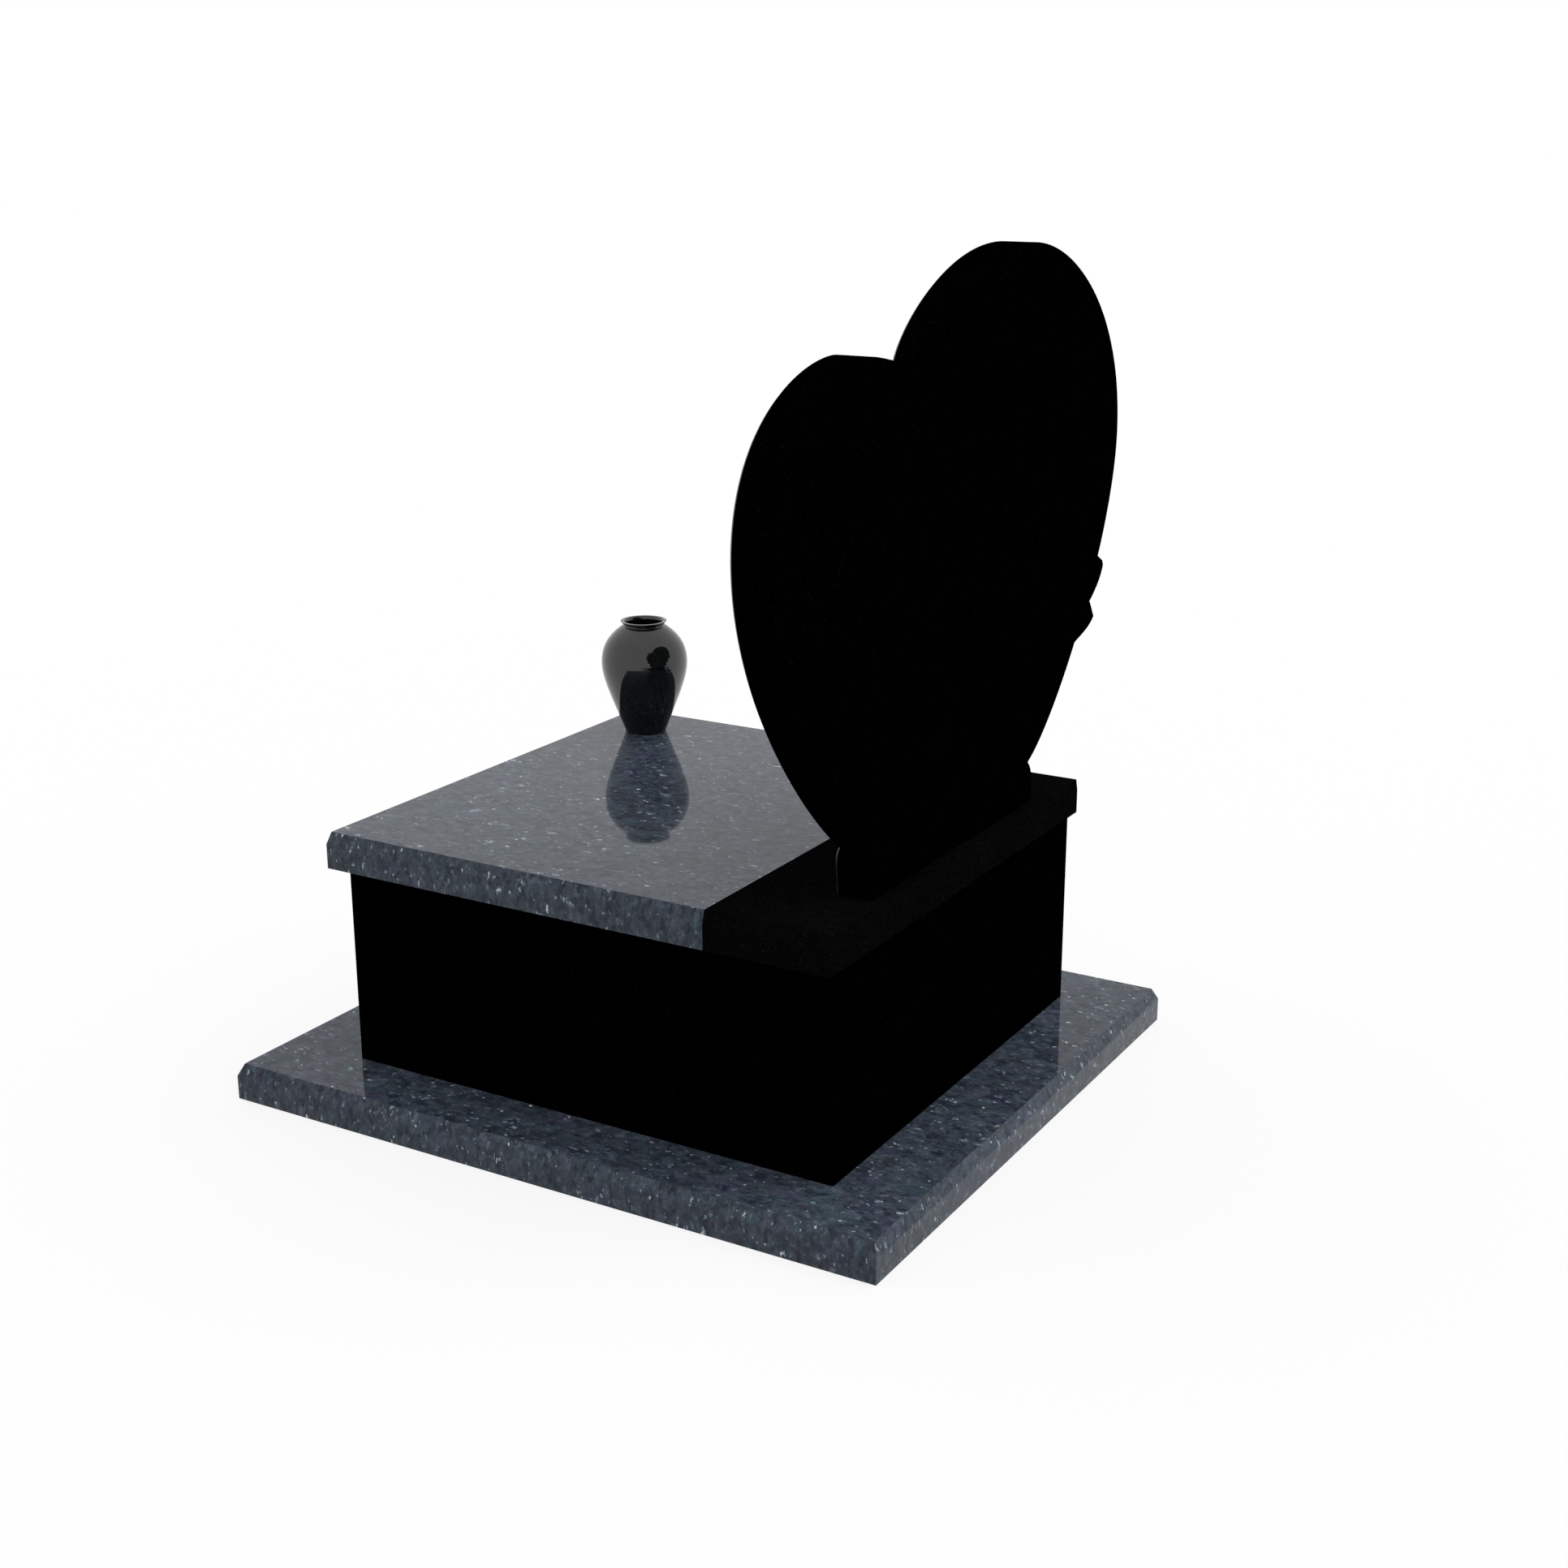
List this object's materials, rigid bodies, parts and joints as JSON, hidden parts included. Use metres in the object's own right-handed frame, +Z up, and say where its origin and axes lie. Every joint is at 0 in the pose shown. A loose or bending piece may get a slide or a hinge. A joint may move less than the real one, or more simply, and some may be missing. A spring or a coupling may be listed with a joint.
{
  "type": "headstone",
  "caption": "Heart-shaped upright memorial of polished black granite on a bevelled slab-topped kerb and a wider base slab, with a small glazed flower vase.",
  "frame": {"origin": "middle of the base slab's underside, at ground level", "axes": "+Z up. The heart's carved face looks towards -Y, over the cover slab and the vase, and the heart stands near the +Y end. +X is on the side of the low lobe."},
  "size_m": [1.141, 1.17, 1.341],
  "materials": {
    "blue_granite": "polished blue-grey larvikite with pearly flecks",
    "black_granite": "polished black granite, fine grained",
    "black_glaze": "glossy dark glaze"
  },
  "bodies": {
    "root": {"base_slab": "blue_granite", "kerb_left": "black_granite", "kerb_right": "black_granite", "kerb_front": "black_granite", "kerb_rear": "black_granite", "cover_slab": "blue_granite", "plinth_slab": "black_granite", "heart_headstone": "black_granite", "vase": "black_glaze"}
  },
  "joints": []
}
